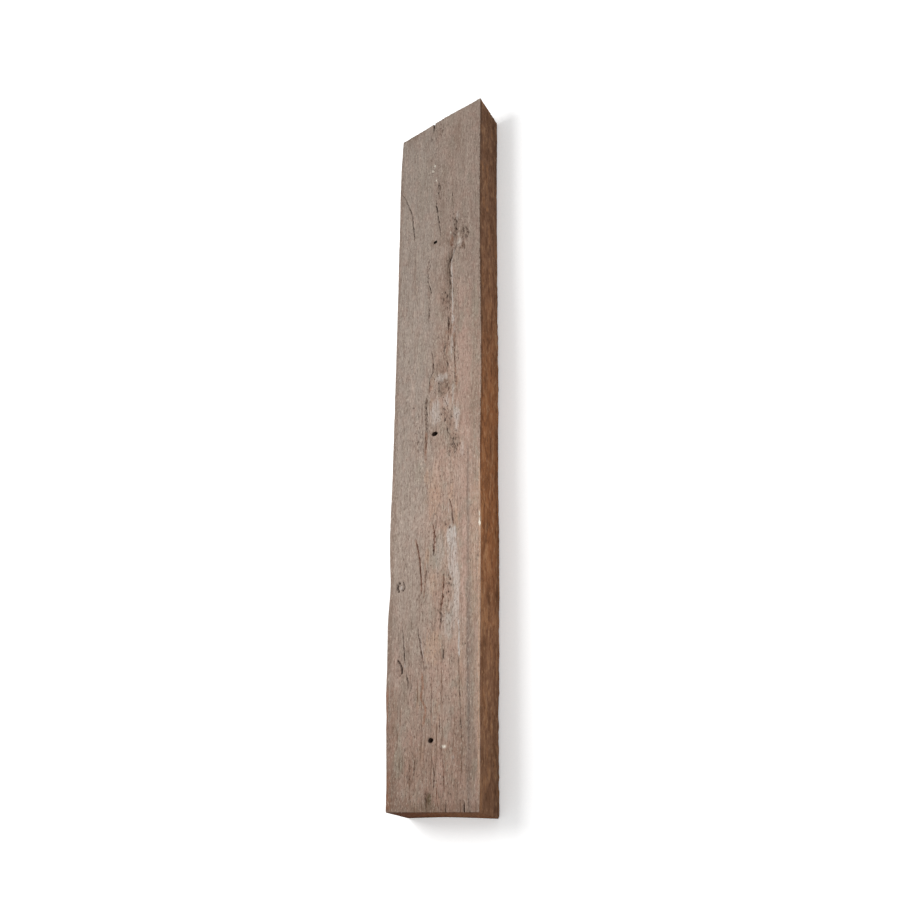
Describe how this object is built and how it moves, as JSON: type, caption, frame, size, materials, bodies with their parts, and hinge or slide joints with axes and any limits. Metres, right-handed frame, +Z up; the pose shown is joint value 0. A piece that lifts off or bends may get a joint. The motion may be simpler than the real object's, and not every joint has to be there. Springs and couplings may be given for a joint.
{
  "type": "timber plank",
  "caption": "Heavy weathered timber plank, sawn on four sides, with worn corners, drying checks and old spike holes down the middle, rough sawn ends slightly out of square.",
  "frame": {"origin": "under the middle of the plank's bounding box, on the face it rests on", "axes": "+X along the plank towards its far, more slanted end; +Y across it; +Z up, out of the weathered face"},
  "size_m": [1.5252, 0.2137, 0.078],
  "materials": {
    "weathered_timber": "bare weathered wood, grey-brown face and red-brown sawn side, dull"
  },
  "bodies": {
    "root": {"plank": "weathered_timber"}
  },
  "joints": []
}
